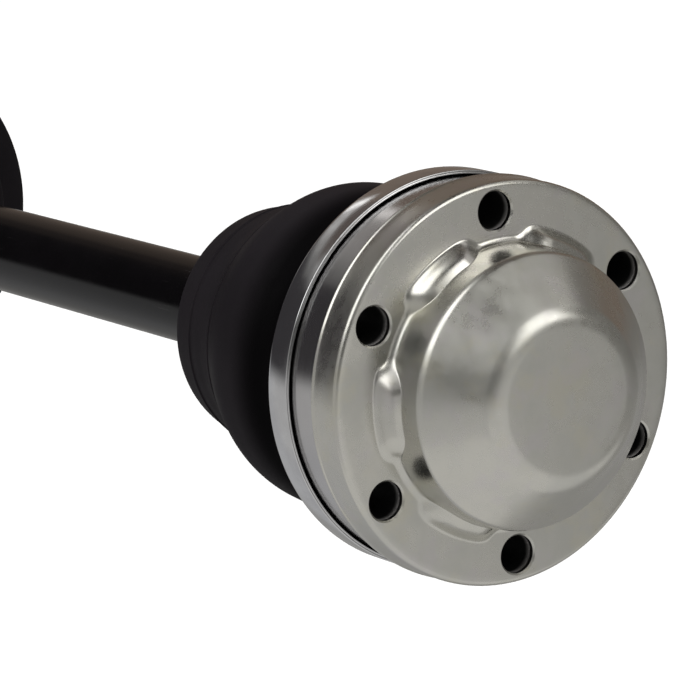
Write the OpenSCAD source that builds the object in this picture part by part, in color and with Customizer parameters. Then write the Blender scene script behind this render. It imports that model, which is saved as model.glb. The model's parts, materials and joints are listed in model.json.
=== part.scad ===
// Half shaft with a plunging flange joint and a fixed ball joint.
// The origin is the middle of the flange's mating face, +X points out of the flange along the axis,
// +Z is up, and the bar runs towards -X. All sizes are in millimetres.

/* [Flange] */
// Diameter of the circle through the flange bolts
bolt_circle_d = 94; // [90:0.5:100]
// Diameter of each flange bolt hole
bolt_hole_d = 10.5; // [9:0.1:11]
// Number of bolts, balls and cap lobes
bolt_count = 6; // [6:1:6]
// Metal left outside each bolt hole in the joint body
hole_edge_wall = 0.6; // [0.4:0.1:2]

/* [End cap] */
// Sheet thickness of the pressed cap
cap_sheet = 1.75; // [1.2:0.05:2.2]
// Length of the skirt behind the mating face
cap_skirt_l = 11.1; // [8:0.1:14]
// Radius of the rounded rim between face and skirt
cap_rim_r = 1.5; // [0.5:0.1:2]
// Radius of the dome at the mating face
dome_base_r = 38.2; // [36:0.1:40]
// Radius of the dome at its shoulder
dome_shoulder_r = 37.4; // [35:0.1:39]
// Height of the shoulder above the mating face
dome_shoulder_h = 12.4; // [10:0.1:15]
// Rounding of the shoulder
dome_shoulder_round = 3.5; // [2.5:0.1:5]
// Radius of the flat middle of the dome
dome_top_r = 22.5; // [18:0.1:24]
// Height of the flat middle above the mating face
dome_top_h = 27; // [22:0.1:30]
// Rounding of the edge of the flat middle
dome_top_round = 9; // [4:0.1:10]
// Rounding where the dome meets the mating face
dome_base_round = 2; // [0.6:0.1:3]
// Radius reached by the lobes over the ball grooves
lobe_r = 42.4; // [41.5:0.1:43]
// Height of the lobes where they meet the dome
lobe_h = 6; // [4:0.1:8]
// Half length of a lobe at the dome
lobe_half_l = 14; // [11:0.1:15]
// How much each end of a lobe draws in towards its rim and its top
lobe_draw = 4.5; // [2:0.1:6]
// Height of a lobe at its outer edge
lobe_edge_h = 3.7; // [2.5:0.1:4.5]
// How far the outer side of a lobe leans in
lobe_lean = 1.4; // [0.8:0.1:2]

/* [Plunging joint] */
// Diameter of the circle through the ball centres
plunge_pitch_d = 61; // [60:0.1:62]
// Ball diameter
plunge_ball_d = 17; // [16:0.05:17.5]
// Length of the joint body along the axis
plunge_race_l = 30.8; // [28:0.1:34]
// Side room between ball and groove
plunge_groove_room = 0.7; // [0.6:0.05:1]
// Wall of the cage beyond each end of a window
plunge_cage_rim = 2.4; // [2:0.1:3]
// Thickness of the cage
plunge_cage_t = 5.8; // [5:0.1:6.2]
// Half width of the inner race
plunge_inner_half_w = 12; // [10:0.1:13]

/* [Boot adapter] */
// Sheet thickness of the adapter
adapter_sheet = 0.9; // [0.7:0.05:1.1]
// Free ring gap between the joint body and the adapter's lip
adapter_gap = 0.75; // [0.4:0.05:1]
// Length of the lip that reaches forward over the joint body
adapter_lip_l = 9.8; // [6:0.1:12]
// Length of the neck that carries the boot
adapter_neck_l = 11; // [8:0.1:14]
// Rounding of the adapter's rear edge
adapter_round = 2; // [1.5:0.1:3]

/* [Bar] */
// Diameter of the bar
bar_d = 26.3; // [25.5:0.1:28]
// Distance between the two joint centres
joint_span = 378; // [340:1:420]
// Number of spline teeth on each end
spline_teeth = 28; // [20:1:30]
// Depth of a spline tooth
spline_depth = 1; // [0.7:0.05:1.2]
// Length of the splined ends
spline_l = 34; // [30:0.5:38]
// Depth of the boot seats turned into the bar
boot_seat_depth = 0.4; // [0.2:0.05:0.6]
// Edge break on turned corners
edge_break = 1; // [0.5:0.1:1.4]

/* [Plunging joint boot] */
// Rubber wall thickness of both boots
boot_wall = 1.5; // [1.2:0.05:1.6]
// Radius of the large fold
plunge_fold_big_r = 46; // [43:0.1:48]
// Radius of the small fold
plunge_fold_small_r = 33.1; // [31:0.1:36]
// Length from the adapter to the clamp seat
plunge_boot_l = 86; // [80:0.5:95]
// Width of the clamp seats of both boots
clamp_seat_w = 10; // [9:0.1:12]
// Width of the clamp bands
clamp_w = 8; // [6:0.1:8.5]
// Thickness of the clamp bands
clamp_t = 0.8; // [0.6:0.05:1]

/* [Fixed joint] */
// Diameter of the circle through the ball centres
fixed_pitch_d = 65; // [64:0.1:66]
// Ball diameter
fixed_ball_d = 17.4; // [16.5:0.05:18]
// Side room between ball and groove
fixed_groove_room = 2.25; // [2.1:0.05:2.5]
// Thickness of the cage
fixed_cage_t = 8.4; // [7:0.1:8.8]
// Wall of the cage beyond each end of a window
fixed_cage_rim = 3; // [2.5:0.1:3.4]
// Half width of the inner race
fixed_inner_half_w = 12; // [10:0.1:13]
// Wall of the bell outside the grooves
bell_wall = 3; // [2.5:0.1:5]
// Distance from the joint centre to the mouth of the bell
bell_mouth_l = 15; // [13:0.1:17]

/* [Fixed joint boot] */
// Radius of the largest fold
fixed_fold_r = 55.6; // [52:0.1:58]
// Length from the bell's clamp seat to the bar's clamp seat
fixed_boot_l = 52; // [48:0.5:60]

/* [Stub] */
// Diameter of the bearing seat behind the bell
stub_seat_d = 40; // [36:0.5:44]
// Diameter over the splines that carry the hub
stub_spline_d = 28; // [26:0.1:30]
// Length of the hub splines
stub_spline_l = 46; // [40:0.5:54]
// Diameter of the threaded end
stub_thread_d = 22; // [20:0.5:23]
// Length of the threaded end
stub_thread_l = 24; // [18:0.5:30]

/* [Hidden] */
// Slip clearance between pieces that seat on each other
slip = 0.1;
// Running clearance between pieces that turn or slide on each other
run = 0.2;
// Spare length by which cutters pass through what they cut
over = 1;
$fn = 96;
// Facets of a rounded corner in a turned outline
round_steps = 6;
// Steps of a smooth curve between two of its stations
curve_steps = 5;

bolt_r = bolt_circle_d / 2;
hole_r = bolt_hole_d / 2;
turn = 360 / bolt_count;

// Joint body
race_r = bolt_r + hole_r + hole_edge_wall;
race_front_x = -cap_sheet;
race_rear_x = race_front_x - plunge_race_l;
plunge_x = (race_front_x + race_rear_x) / 2;
plunge_pitch_r = plunge_pitch_d / 2;
plunge_ball_r = plunge_ball_d / 2;
plunge_groove_r = plunge_ball_r + plunge_groove_room;
plunge_cage_out_r = plunge_pitch_r + plunge_cage_t / 2;
plunge_cage_in_r = plunge_pitch_r - plunge_cage_t / 2;
plunge_bore_r = plunge_cage_out_r + run;
plunge_sphere_r = plunge_cage_in_r - run;
window_room = 0.15;
plunge_window = plunge_ball_r + window_room;
plunge_cage_half_w = plunge_window + plunge_cage_rim;

// End cap
cap_in_r = race_r + slip;
cap_out_r = cap_in_r + cap_sheet;

// Boot adapter
adapter_bend = adapter_sheet;
adapter_in_r = race_r + adapter_gap;
adapter_out_r = adapter_in_r + adapter_sheet;
adapter_rear_x = race_rear_x - adapter_sheet;
adapter_neck_in_r = plunge_pitch_r + plunge_ball_r;
adapter_neck_r = adapter_neck_in_r + adapter_sheet;
adapter_neck_end_x = adapter_rear_x - adapter_neck_l;

// Bar
bar_r = bar_d / 2;
fixed_x = plunge_x - joint_span;
spline_drop = 0.4;
spline_relief = 0.3;
spline_break = 0.7 * spline_depth;
tooth_flank = 0.12;
tooth_land = 0.3;
spline_tip_r = bar_r - spline_drop;
spline_root_r = spline_tip_r - spline_depth;
circlip_t = 1.6;
circlip_depth = 1.2;
circlip_stand = 1.4;
circlip_gap = 40;
tip_beyond_circlip = 2.2;
shaft_tip_l = circlip_t + 2 * slip + tip_beyond_circlip;
washer_t = 1.4;
washer_dish = 1.6;
washer_w = 5;

// Boot of the plunging joint
collar_r = adapter_neck_r + slip + boot_wall;
boot_seat_r = bar_r - boot_seat_depth;
neck_r = boot_seat_r + slip + boot_wall;
plunge_collar_x = adapter_rear_x - adapter_bend - run;
plunge_neck_x = plunge_collar_x - plunge_boot_l;

// Fixed joint
fixed_pitch_r = fixed_pitch_d / 2;
fixed_ball_r = fixed_ball_d / 2;
fixed_groove_r = fixed_ball_r + fixed_groove_room;
fixed_cage_out_r = fixed_pitch_r + fixed_cage_t / 2;
fixed_cage_in_r = fixed_pitch_r - fixed_cage_t / 2;
fixed_sphere_r = fixed_cage_in_r - run;
fixed_window = fixed_ball_r + window_room;
fixed_cage_half_w = fixed_window + fixed_cage_rim;
fixed_groove_arc = 100;
bell_cavity_r = fixed_cage_out_r + run;
bell_r = fixed_pitch_r + fixed_groove_r + bell_wall;
bell_mouth_x = fixed_x + bell_mouth_l;
bell_back_wall = 9;
bell_back_x = fixed_x - bell_cavity_r - bell_back_wall;
bell_collar_l = 24;
bell_lip_l = 4;
bell_seat_depth = 0.8;
bell_seat_r = bell_r - bell_seat_depth;
bell_seat_x = bell_mouth_x - bell_lip_l;

// Stub
stub_seat_r = stub_seat_d / 2;
stub_seat_l = 8;
centre_drill_r = 4;
stub_spline_r = stub_spline_d / 2;
stub_thread_r = stub_thread_d / 2;
stub_spline_x = bell_back_x - stub_seat_l;
stub_thread_x = stub_spline_x - stub_spline_l;
stub_end_x = stub_thread_x - stub_thread_l;

// Boot of the fixed joint
fixed_collar_r = bell_seat_r + slip + boot_wall;
fixed_collar_x = bell_seat_x;
fixed_neck_x = bell_seat_x + fixed_boot_l;
lip_rise = bell_seat_depth + 2 * run;
fixed_collar_end_x = bell_seat_x - lip_rise - run;

// Clamps and their seats on the bar
clamp_ear_r = 3.6;
seat_lead = 2.5;

BALLS = [for (i = [1 : bolt_count]) i];

// Point on the way from a to b
function mix(a, b, share) = a + (b - a) * share;

// Points of an arc in the plane, from one angle to another
function arc(centre, r, from, to) =
    [for (i = [0 : round_steps]) centre + r * [cos(mix(from, to, i / round_steps)),
                                               sin(mix(from, to, i / round_steps))]];

// One point of the smooth curve through four stations
function curve_point(a, b, c, d, t) =
    0.5 * (2 * b + (c - a) * t + (2 * a - 5 * b + 4 * c - d) * t * t + (3 * b - a - 3 * c + d) * t * t * t);

// Smooth curve through all stations
function curve(p) = concat(
    [for (i = [0 : len(p) - 2], s = [0 : curve_steps - 1])
        curve_point(p[max(i - 1, 0)], p[i], p[i + 1], p[min(i + 2, len(p) - 1)], s / curve_steps)],
    [p[len(p) - 1]]);

// Folds that swing between crests and valleys given as stations
function waves(p) = concat(
    [for (i = [0 : len(p) - 2], s = [0 : curve_steps - 1])
        [mix(p[i][0], p[i + 1][0], (1 - cos(180 * s / curve_steps)) / 2),
         mix(p[i][1], p[i + 1][1], s / curve_steps)]],
    [p[len(p) - 1]]);

// Unit vector square to a line at one of its points
function square_to(p, i) =
    let (d = p[min(i + 1, len(p) - 1)] - p[max(i - 1, 0)]) [d[1], -d[0]] / norm(d);

// Closed outline of a wall that lies to one side of a line
function wall_of(p, t) = concat(p, [for (i = [len(p) - 1 : -1 : 0]) p[i] - t * square_to(p, i)]);

// Outline of a spline, grown by a clearance for the mating bore
function spline_outline(root, tip, teeth, grow) =
    let (pitch = 360 / teeth, foot = tooth_land / 2 + tooth_flank, side = grow / tip * 180 / PI,
         corners = [[root, -foot, -1], [tip, -tooth_land / 2, -1], [tip, tooth_land / 2, 1], [root, foot, 1]])
    [for (i = [0 : teeth - 1], c = corners)
        let (a = pitch * (i + c[1]) + side * c[2]) (c[0] + grow) * [cos(a), sin(a)]];

// Round bar along the axis between two places
module rod(x0, x1, r) {
    translate([x0, 0, 0]) rotate([0, 90, 0]) cylinder(h = x1 - x0, r = r);
}

// Solid turned about the axis from an outline of [radius, place along the axis]
module turned(outline) {
    rotate([0, 90, 0]) rotate_extrude() polygon(outline);
}

// Extrusion along the axis of an outline that lies across it
module along(x0, x1) {
    translate([x0, 0, 0]) rotate([90, 0, 90]) linear_extrude(height = x1 - x0) children();
}

// Copies around the axis, the first one at the top or half a step past it
module around(shift = 0) {
    for (i = [0 : bolt_count - 1]) rotate([turn * (i + shift), 0, 0]) children();
}

// Bolt holes through everything between two places
module bolt_holes(x0, x1) {
    around() translate([0, 0, bolt_r]) rod(x0, x1, hole_r);
}

// Ring groove swept about the joint centre, as the balls swing
module swept_groove(pitch, r) {
    rotate([90, 0, 0]) rotate([0, 0, 90 - fixed_groove_arc / 2])
        rotate_extrude(angle = fixed_groove_arc) translate([pitch, 0]) circle(r = r);
}

// Raised lobe of the cap over one ball groove, drawn in by the sheet for its inside
module lobe(inset) {
    rim = lobe_r - inset;
    wall = dome_shoulder_r - inset;
    foot = -inset;
    below = foot - over;
    top = lobe_h - inset;
    half = lobe_half_l - inset;
    intersection() {
        turned([[0, below], [rim, below], [rim, foot], [rim - lobe_lean, lobe_edge_h - inset],
                [wall, top], [0, top]]);
        along(below, lobe_h + over)
            polygon([[-half, 0], [-half, wall], [lobe_draw - half, rim + over],
                     [half - lobe_draw, rim + over], [half, wall], [half, 0]]);
        rotate([0, 0, -90]) linear_extrude(height = lobe_r + over)
            polygon([[-half, below], [half, below], [half, foot], [half - lobe_draw, top],
                     [lobe_draw - half, top], [-half, foot]]);
    }
}

// Ball with its poles on the axis
module globe(r) {
    rotate([0, 90, 0]) sphere(r = r);
}

// Spherical cage with one window for each ball
module cage(x, r_in, r_out, half_w, window) {
    translate([x, 0, 0]) difference() {
        intersection() {
            globe(r_out);
            rod(-half_w, half_w, r_out + over);
        }
        globe(r_in);
        around(0.5) translate([-window, -window, 0]) cube([2 * window, 2 * window, r_out + over]);
    }
}

// Inner race with swept grooves and a splined bore
module inner_race(x, r, half_w, pitch, groove) {
    translate([x, 0, 0]) difference() {
        intersection() {
            globe(r);
            rod(-half_w, half_w, r + over);
        }
        around(0.5) swept_groove(pitch, groove);
        along(-half_w - over, half_w + over)
            polygon(spline_outline(spline_root_r, spline_tip_r, spline_teeth, slip));
    }
}

// One ball at its place in a cage
module ball(x, pitch, r, i) {
    rotate([turn * (i - 0.5), 0, 0]) translate([x, 0, pitch]) sphere(r = r);
}

// Open spring ring in a groove of the bar
module circlip(x) {
    difference() {
        rod(x, x + circlip_t, spline_tip_r + circlip_stand);
        rod(x - over, x + circlip_t + over, spline_tip_r - circlip_depth + slip);
        along(x - over, x + circlip_t + over)
            polygon(concat([[0, 0]], [for (a = [90 - circlip_gap / 2, 90 + circlip_gap / 2])
                                         2 * bar_r * [cos(a), sin(a)]]));
    }
}

// Band clamp with a looped ear
module ear_clamp(x, r) {
    difference() {
        union() {
            rod(x, x + clamp_w, r + clamp_t);
            translate([0, 0, r + clamp_t / 2]) along(x, x + clamp_w) difference() {
                circle(r = clamp_ear_r);
                circle(r = clamp_ear_r - clamp_t);
            }
        }
        rod(x - over, x + clamp_w + over, r);
    }
}

module shaft_bar() {
    tip = plunge_x + plunge_inner_half_w + shaft_tip_l;
    far_tip = fixed_x - fixed_inner_half_w - shaft_tip_l;
    relief = spline_root_r - spline_relief;
    taper = bar_r - relief;
    near_end = tip - spline_l;
    far_end = far_tip + spline_l;
    near_seat = [plunge_neck_x - clamp_seat_w - run, plunge_neck_x + seat_lead];
    far_seat = [fixed_neck_x - seat_lead, fixed_neck_x + clamp_seat_w + run];
    color([0.05, 0.05, 0.055]) difference() {
        union() {
            turned([[0, far_end - taper], [relief, far_end - taper], [relief, far_end + run],
                    [bar_r, far_end + run + taper],
                    [bar_r, far_seat[0]], [boot_seat_r, far_seat[0]],
                    [boot_seat_r, far_seat[1]], [bar_r, far_seat[1]],
                    [bar_r, near_seat[0]], [boot_seat_r, near_seat[0]],
                    [boot_seat_r, near_seat[1]], [bar_r, near_seat[1]],
                    [bar_r, near_end - run - taper], [relief, near_end - run],
                    [relief, near_end + taper], [0, near_end + taper]]);
            for (end = [[far_tip, far_end], [near_end, tip]]) intersection() {
                along(end[0], end[1])
                    polygon(spline_outline(spline_root_r, spline_tip_r, spline_teeth, 0));
                turned([[0, end[0]], [spline_tip_r - spline_break, end[0]],
                        [spline_tip_r + over, end[0] + spline_break + over],
                        [spline_tip_r + over, end[1] - spline_break - over],
                        [spline_tip_r - spline_break, end[1]], [0, end[1]]]);
            }
        }
        for (x = [plunge_x + plunge_inner_half_w, fixed_x - fixed_inner_half_w - circlip_t - 2 * slip])
            difference() {
                rod(x, x + circlip_t + 2 * slip, bar_r + over);
                rod(x - over, x + circlip_t + over, spline_tip_r - circlip_depth);
            }
    }
}

module plunge_outer_race() {
    color([0.62, 0.62, 0.63]) difference() {
        turned([[plunge_bore_r + edge_break, race_rear_x], [race_r - edge_break / 2, race_rear_x],
                [race_r, race_rear_x + edge_break / 2], [race_r, race_front_x - edge_break / 2],
                [race_r - edge_break / 2, race_front_x], [plunge_bore_r + edge_break, race_front_x],
                [plunge_bore_r, race_front_x - edge_break], [plunge_bore_r, race_rear_x + edge_break]]);
        around(0.5) translate([0, 0, plunge_pitch_r])
            rod(race_rear_x - over, race_front_x + over, plunge_groove_r);
        bolt_holes(race_rear_x - over, race_front_x + over);
    }
}

// Outer surface of the dome from the mating face to the axis
function dome_line() =
    let (lean = atan2(dome_base_r - dome_shoulder_r, dome_shoulder_h),
         foot = dome_base_r + dome_base_round,
         slope = atan2(dome_top_h - dome_shoulder_h, dome_shoulder_r - dome_top_r),
         shoulder = [dome_shoulder_r - dome_shoulder_round,
                     dome_shoulder_h - dome_shoulder_round * tan(slope / 2)],
         crown = [dome_top_r - dome_top_round * tan(slope / 2), dome_top_h - dome_top_round])
    concat(arc([foot, dome_base_round], dome_base_round, 270, 180 - lean),
           arc(shoulder, dome_shoulder_round, lean, 90 - slope > lean ? 90 - slope : lean),
           arc(crown, dome_top_round, 90 - slope, 90),
           [[0, dome_top_h]]);

module end_cap() {
    dome = dome_line();
    rim = arc([cap_out_r - cap_rim_r, -cap_rim_r], cap_rim_r, 0, 90);
    inside = [for (i = [1 : len(dome) - 2]) dome[i] - cap_sheet * square_to(dome, i)];
    color([0.6, 0.59, 0.56]) difference() {
        union() {
            turned(concat([[0, -cap_skirt_l], [cap_out_r, -cap_skirt_l]], rim, dome));
            around(0.5) lobe(0);
        }
        turned(concat([[0, -cap_skirt_l - over], [cap_in_r, -cap_skirt_l - over], [cap_in_r, -cap_sheet]],
                      inside, [[0, dome_top_h - cap_sheet]]));
        around(0.5) lobe(cap_sheet);
        bolt_holes(-cap_sheet - over, over);
    }
}

module boot_adapter() {
    rear_corner = [adapter_out_r - adapter_round, adapter_rear_x + adapter_round];
    neck_corner = [adapter_neck_r + adapter_bend, adapter_rear_x - adapter_bend];
    line = concat([[adapter_out_r, adapter_rear_x + adapter_lip_l]],
                  arc(rear_corner, adapter_round, 0, -90),
                  arc(neck_corner, adapter_bend, 90, 180),
                  [[adapter_neck_r, adapter_neck_end_x]]);
    color([0.7, 0.7, 0.72]) difference() {
        turned(wall_of(line, -adapter_sheet));
        bolt_holes(adapter_rear_x - over, race_rear_x + over);
    }
}

// Outer line of the flange boot, from the adapter's collar to the clamp seat on the bar
function plunge_boot_line() =
    let (start = adapter_neck_end_x, end = plunge_neck_x, at = function (share) mix(start, end, share),
         big = plunge_fold_big_r, small = plunge_fold_small_r)
    concat([[collar_r, plunge_collar_x]],
           curve([[collar_r, start + run], [collar_r, at(0.06)], [mix(collar_r, big, 0.1), at(0.11)],
                  [mix(collar_r, big, 0.45), at(0.16)], [mix(collar_r, big, 0.85), at(0.21)], [big, at(0.28)],
                  [mix(small, big, 0.96), at(0.38)], [mix(small, big, 0.75), at(0.47)],
                  [mix(small, big, 0.41), at(0.58)], [mix(small, big, 0.25), at(0.66)],
                  [mix(small, big, 0.2), at(0.73)], [mix(small, big, 0.12), at(0.81)], [small, at(0.9)],
                  [mix(neck_r, small, 0.83), at(0.945)], [mix(neck_r, small, 0.45), at(0.978)],
                  [neck_r, end]]),
           [[neck_r, end - clamp_seat_w]]);

module plunge_boot() {
    color([0.13, 0.13, 0.14]) turned(wall_of(plunge_boot_line(), -boot_wall));
}

module plunge_boot_clamp() {
    color([0.55, 0.55, 0.56]) ear_clamp(plunge_neck_x - (clamp_seat_w + clamp_w) / 2, neck_r + slip);
}

module plunge_inner_race() {
    color([0.5, 0.5, 0.52])
        inner_race(plunge_x, plunge_sphere_r, plunge_inner_half_w, plunge_pitch_r, plunge_groove_r);
}

module plunge_cage() {
    color([0.45, 0.45, 0.47])
        cage(plunge_x, plunge_cage_in_r, plunge_cage_out_r, plunge_cage_half_w, plunge_window);
}

module plunge_circlip() {
    color([0.3, 0.3, 0.32]) circlip(plunge_x + plunge_inner_half_w + slip);
}

module plunge_washer() {
    face = plunge_x - plunge_inner_half_w - slip;
    bore = spline_tip_r + slip;
    color([0.4, 0.4, 0.42])
        turned([[bore, face - washer_t - washer_dish], [bore + washer_w, face - washer_t],
                [bore + washer_w, face], [bore, face - washer_dish]]);
}

module plunge_ball(i) {
    color([0.75, 0.75, 0.77]) ball(plunge_x, plunge_pitch_r, plunge_ball_r, i);
}

module stub_axle() {
    round_r = bell_r - stub_seat_r;
    shoulder_x = bell_mouth_x - bell_collar_l;
    color([0.42, 0.41, 0.4]) difference() {
        union() {
            turned(concat([[0, bell_mouth_x], [bell_r - edge_break, bell_mouth_x],
                           [bell_r, bell_mouth_x - edge_break], [bell_r, bell_seat_x],
                           [bell_seat_r, bell_seat_x], [bell_seat_r, bell_seat_x - clamp_seat_w],
                           [bell_r, bell_seat_x - clamp_seat_w]],
                          [for (p = arc([0, 0], 1, 0, -90))
                              [stub_seat_r + round_r * p[0], shoulder_x + (shoulder_x - bell_back_x) * p[1]]],
                          [[stub_seat_r, stub_spline_x + edge_break],
                           [stub_seat_r - edge_break, stub_spline_x], [0, stub_spline_x]]));
            along(stub_thread_x, stub_spline_x + over)
                polygon(spline_outline(stub_spline_r - spline_depth, stub_spline_r, spline_teeth, 0));
            turned([[0, stub_end_x], [stub_thread_r - edge_break, stub_end_x],
                    [stub_thread_r, stub_end_x + edge_break], [stub_thread_r, stub_thread_x + over],
                    [0, stub_thread_x + over]]);
        }
        translate([fixed_x, 0, 0]) {
            globe(bell_cavity_r);
            rod(0, bell_mouth_l + over, sqrt(pow(bell_cavity_r, 2) - pow(bell_mouth_l, 2)));
            around(0.5) swept_groove(fixed_pitch_r, fixed_groove_r);
        }
        turned([[0, stub_end_x - over], [centre_drill_r + over, stub_end_x - over],
                [0, stub_end_x + centre_drill_r]]);
    }
}

module fixed_inner_race() {
    color([0.5, 0.5, 0.52])
        inner_race(fixed_x, fixed_sphere_r, fixed_inner_half_w, fixed_pitch_r, fixed_groove_r);
}

module fixed_cage() {
    color([0.45, 0.45, 0.47])
        cage(fixed_x, fixed_cage_in_r, fixed_cage_out_r, fixed_cage_half_w, fixed_window);
}

module fixed_circlip() {
    color([0.3, 0.3, 0.32]) circlip(fixed_x - fixed_inner_half_w - circlip_t - slip);
}

module fixed_ball(i) {
    color([0.75, 0.75, 0.77]) ball(fixed_x, fixed_pitch_r, fixed_ball_r, i);
}

// Outer line of the far boot, from the bell's clamp seat to the clamp seat on the bar
function fixed_boot_line() =
    let (start = fixed_collar_x, end = fixed_neck_x, at = function (share) mix(start, end, share),
         rim = function (share) mix(neck_r, fixed_fold_r, share))
    concat([[fixed_collar_r, start - clamp_seat_w + run], [fixed_collar_r, fixed_collar_end_x]],
           waves([[fixed_collar_r + lip_rise, start - run], [rim(0.96), at(0.16)], [rim(0.74), at(0.33)],
                  [rim(1), at(0.5)], [rim(0.56), at(0.62)], [rim(0.66), at(0.72)], [rim(0.27), at(0.82)],
                  [rim(0.33), at(0.9)], [neck_r, end]]),
           [[neck_r, end + clamp_seat_w]]);

module fixed_boot() {
    color([0.13, 0.13, 0.14]) turned(wall_of(fixed_boot_line(), boot_wall));
}

module fixed_boot_clamp_large() {
    color([0.55, 0.55, 0.56])
        ear_clamp(fixed_collar_end_x - slip - clamp_w, fixed_collar_r + slip);
}

module fixed_boot_clamp_small() {
    color([0.55, 0.55, 0.56]) ear_clamp(fixed_neck_x + (clamp_seat_w - clamp_w) / 2, neck_r + slip);
}

shaft_bar();
plunge_outer_race();
end_cap();
boot_adapter();
plunge_boot();
plunge_boot_clamp();
plunge_inner_race();
plunge_cage();
plunge_circlip();
plunge_washer();
for (i = BALLS) plunge_ball(i);
stub_axle();
fixed_inner_race();
fixed_cage();
fixed_circlip();
fixed_boot();
fixed_boot_clamp_large();
fixed_boot_clamp_small();
for (i = BALLS) fixed_ball(i);
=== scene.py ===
"""Looks of the half shaft: a finish for every piece, and the pressed cap, boot ring, rubber boots,
ear clamps and hub thread as modelled meshes. Sizes are in millimetres and turned to metres by MM."""

import json
import math

import bpy
from mathutils import Matrix, Vector

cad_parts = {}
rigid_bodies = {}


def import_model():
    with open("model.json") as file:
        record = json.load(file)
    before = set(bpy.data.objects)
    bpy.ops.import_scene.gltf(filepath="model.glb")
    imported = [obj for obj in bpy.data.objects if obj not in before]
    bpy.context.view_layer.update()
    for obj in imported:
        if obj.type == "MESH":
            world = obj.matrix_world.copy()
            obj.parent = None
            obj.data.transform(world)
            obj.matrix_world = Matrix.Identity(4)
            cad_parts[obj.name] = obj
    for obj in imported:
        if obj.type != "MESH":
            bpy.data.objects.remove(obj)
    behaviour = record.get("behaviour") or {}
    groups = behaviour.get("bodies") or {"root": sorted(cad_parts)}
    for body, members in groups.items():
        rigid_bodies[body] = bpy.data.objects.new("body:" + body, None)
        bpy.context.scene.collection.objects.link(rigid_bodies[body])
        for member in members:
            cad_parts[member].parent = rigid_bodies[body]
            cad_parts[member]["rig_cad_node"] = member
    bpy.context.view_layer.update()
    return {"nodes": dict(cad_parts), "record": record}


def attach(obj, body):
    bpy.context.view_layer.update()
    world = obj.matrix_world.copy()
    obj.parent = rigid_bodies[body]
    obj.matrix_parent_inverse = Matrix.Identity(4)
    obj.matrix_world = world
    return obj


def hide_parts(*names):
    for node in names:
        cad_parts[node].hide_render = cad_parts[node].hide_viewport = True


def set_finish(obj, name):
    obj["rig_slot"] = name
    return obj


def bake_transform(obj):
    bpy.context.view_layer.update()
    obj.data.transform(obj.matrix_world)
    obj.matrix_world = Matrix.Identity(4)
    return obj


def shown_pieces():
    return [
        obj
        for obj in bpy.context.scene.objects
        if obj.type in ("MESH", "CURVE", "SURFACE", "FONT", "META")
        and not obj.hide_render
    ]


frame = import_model()

MM = 0.001
MERGE = 1e-6
SCREW_MERGE = 1e-5
SMOOTH_ANGLE = math.radians(32)

# Camera of the photo
CAMERA_PLACE = (0.87370, -0.61616, 0.26542)
CAMERA_RIGHT = (0.5576, 0.8270, -0.0723)
CAMERA_UP = (-0.1522, 0.1874, 0.9704)
CAMERA_LENS = 213.6

# Studio, in metres and degrees
FLOOR_Z = -0.29
FLOOR_HALF = 6.0
FLOOR_WHITE = 0.55
FLOOR_GLOW = 0.52
ROOM_LIGHT = 0.32
LAMP_SPREAD = 30
STRIP_PLACE = (-0.415, -0.07, 0.285)
STRIP_SIZE = (0.12, 0.34)
STRIP_FADE_Y = (-0.2, 0.0)
STRIP_FADE = (0.2, 0.55)
STRIP_CORE_Y = 0.065
STRIP_CORE_HALF = (0.012, 0.03)
STRIP_CORE = 0.9

# Tent round the studio
TENT_HALF = 2.2
TENT_TOP = 2.6
TENT_OFF_FLOOR = 0.005
TENT_HORIZON = (-8, 6)
TENT_BELOW = (0.68, 0.672, 0.655)
TENT_ABOVE = (0.33, 0.325, 0.315)
# Bearing, rise, half width, half height and soft edge in degrees, then the colour of each patch or window
TENT_PATCHES = (
    (-160, -45, 40, 40, 15, (0.48, 0.48, 0.485)),
    (-95, -14, 50, 11, 8, (0.54, 0.535, 0.525)),
    (128, -45, 45, 30, 18, (0.34, 0.335, 0.325)),
    (100, -12, 64, 14, 5, (0.32, 0.315, 0.305)),
    (85, 12, 38, 18, 10, (0.2, 0.195, 0.185)),
    (88, 73, 68, 17, 8, (0.08, 0.07, 0.062)),
    (180, 34, 20, 14, 8, (0.12, 0.098, 0.088)),
    (-155, 14, 22, 14, 7, (0.045, 0.042, 0.045)),
    (132, 30, 32, 27, 8, (0.2, 0.158, 0.13)),
    (-33, 11, 19, 9, 8, (0.1, 0.1, 0.095)),
    (10, 68, 30, 7, 5, (0.04, 0.04, 0.038)),
    (68, 47, 14, 7, 6, (0.6, 0.59, 0.57)),
    (22.5, 38.7, 18.5, 17, 4, (2.45, 2.43, 2.35)),
    (-83, 54, 23, 24, 7, (2.4, 2.4, 2.35)),
    (-64, 63, 14, 12, 7, (2.4, 2.4, 2.35)))

# Bolts and flange
BOLTS = 6
BOLT_R = 47
HOLE_R = 5.25
HOLE_CHAMFER = 0.5
# Depth in from the mouth over which the painted shade in the body's bolt holes lightens
HOLE_LIT = 2.2
CAP_HOLE_MARGIN = 0.02
BODY_HOLE_MARGIN = 0.05
CUT_PAST = 1
CUT_STEPS = 48

# End cap
CAP_SHEET = 1.75
CAP_OUT_R = 54.7
CAP_IN_R = 52.95
CAP_SKIRT = 11.1
CAP_RIM_ROUND = 1.5
CAP_EDGE_ROUND = 0.35
CAP_FLARE = 0.35
CAP_FLARE_L = 1.2
DOME_BASE_R = 38.2
DOME_BASE_ROUND = 2.0
DOME_SHOULDER = (12.4, 37.4)
DOME_SHOULDER_ROUND = 3.5
DOME_TOP = (27.0, 22.5)
DOME_TOP_ROUND = 9.0
CAP_STEPS = 480
FACE_STEP = 1.5
FLAT_STEP = 3.0
WALL_STEP = 0.5
SLOPE_STEP = 1.2

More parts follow.
